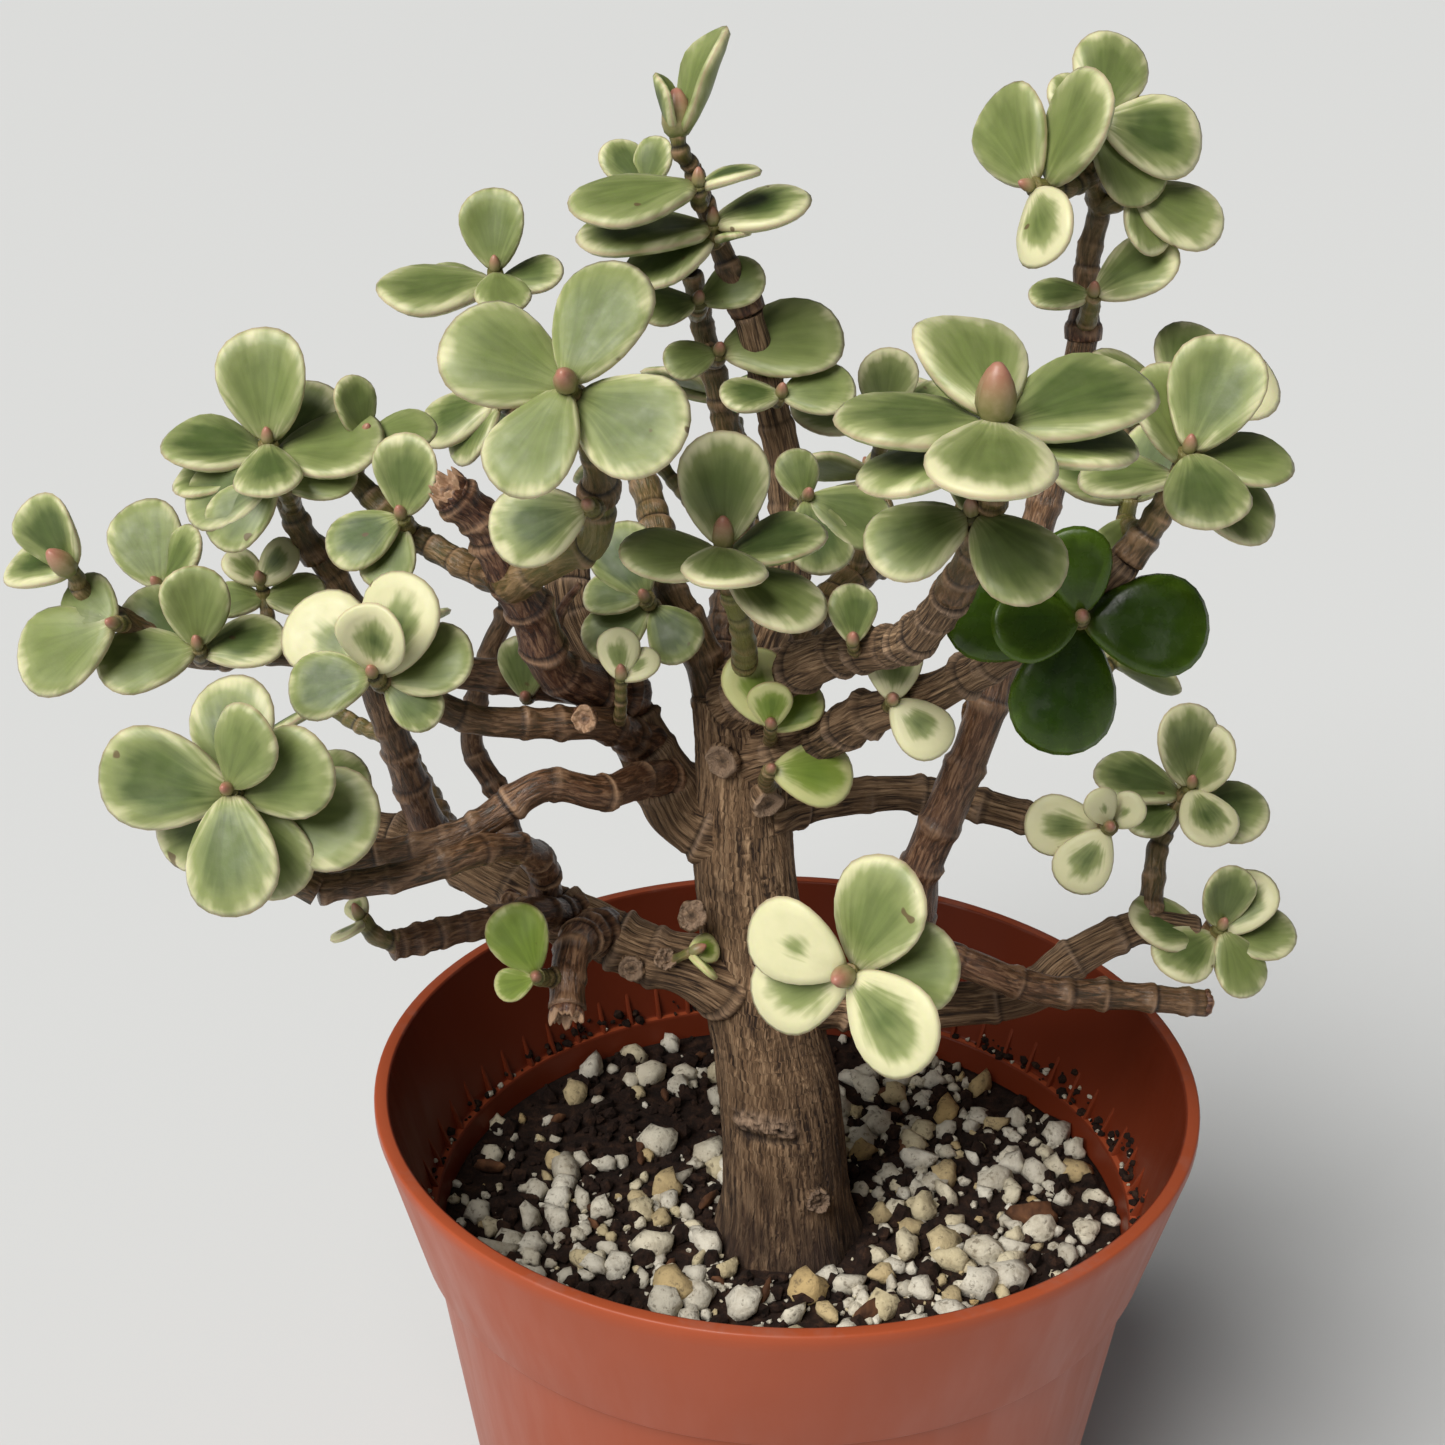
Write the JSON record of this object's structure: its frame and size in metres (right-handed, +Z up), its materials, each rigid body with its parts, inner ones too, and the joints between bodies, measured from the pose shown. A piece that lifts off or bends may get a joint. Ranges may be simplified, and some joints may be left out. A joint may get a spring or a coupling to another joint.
{
  "type": "potted jade plant",
  "caption": "Small branching dwarf jade shrub with cream-edged fleshy leaves, growing in gritty soil in a round tapered plastic nursery pot with a banded rim.",
  "frame": {"origin": "middle of the flat underside of the pot, on the surface that it stands on", "axes": "+Z up along the pot's axis; -Y is the front, the side that most leaves face; +X to the right seen from the front"},
  "size_m": [0.1905, 0.1799, 0.2748],
  "materials": {
    "pot_plastic": "satin",
    "soil_mix": "matte",
    "old_bark": "matte",
    "young_bark": "matte",
    "leaf_skin": "satin",
    "green_leaf_skin": "satin"
  },
  "bodies": {
    "root": {"pot": "pot_plastic", "soil": "soil_mix", "trunk": "old_bark", "limb_low_left": "old_bark", "limb_up_left": "old_bark", "limb_low_right": "old_bark", "limb_right": "old_bark", "limb_mid_right": "old_bark", "limb_front_right": "old_bark", "leader_top": "old_bark", "leader_right": "young_bark", "stem_ringed": "young_bark", "limb_left_rise": "young_bark", "stem_thin_left": "young_bark", "limb_twin_lower": "young_bark", "limb_twin_upper": "young_bark", "limb_far_left": "young_bark", "limb_left_mid": "young_bark", "limb_dark_left": "young_bark", "limb_high_left": "young_bark", "sprig_left_front": "leaf_skin", "sprig_left_behind": "leaf_skin", "sprig_high_left": "leaf_skin", "sprig_centre": "leaf_skin", "sprig_low_front": "leaf_skin", "sprig_low_right": "leaf_skin", "sprig_right": "leaf_skin", "sprig_right_small": "leaf_skin", "sprig_green": "green_leaf_skin", "sprig_front_right": "leaf_skin", "sprig_far_right": "leaf_skin", "sprig_right_upper": "leaf_skin", "sprig_right_crown": "leaf_skin", "sprig_top": "leaf_skin", "sprig_top_left": "leaf_skin", "sprig_left_crown": "leaf_skin", "sprig_left_mid": "leaf_skin", "sprig_left_end": "leaf_skin", "sprig_left_outer": "leaf_skin", "sprig_left_back": "leaf_skin", "sprig_left_bud": "leaf_skin", "sprig_trunk_front": "leaf_skin", "sprig_trunk_side": "leaf_skin", "sprig_mid_right": "leaf_skin", "sprig_mid_small": "leaf_skin", "sprig_tiny_pair": "leaf_skin", "sprig_single_leaf": "leaf_skin", "sprig_knot": "leaf_skin", "sprig_centre_back": "leaf_skin", "sprig_leader": "leaf_skin", "stub_front": "young_bark", "branch_low_front": "young_bark", "branch_bend_left": "leaf_skin", "branch_back_left": "leaf_skin", "branch_back_right": "leaf_skin", "branch_back_mid": "leaf_skin", "branch_low_back": "leaf_skin", "branch_right_back": "leaf_skin"}
  },
  "joints": []
}
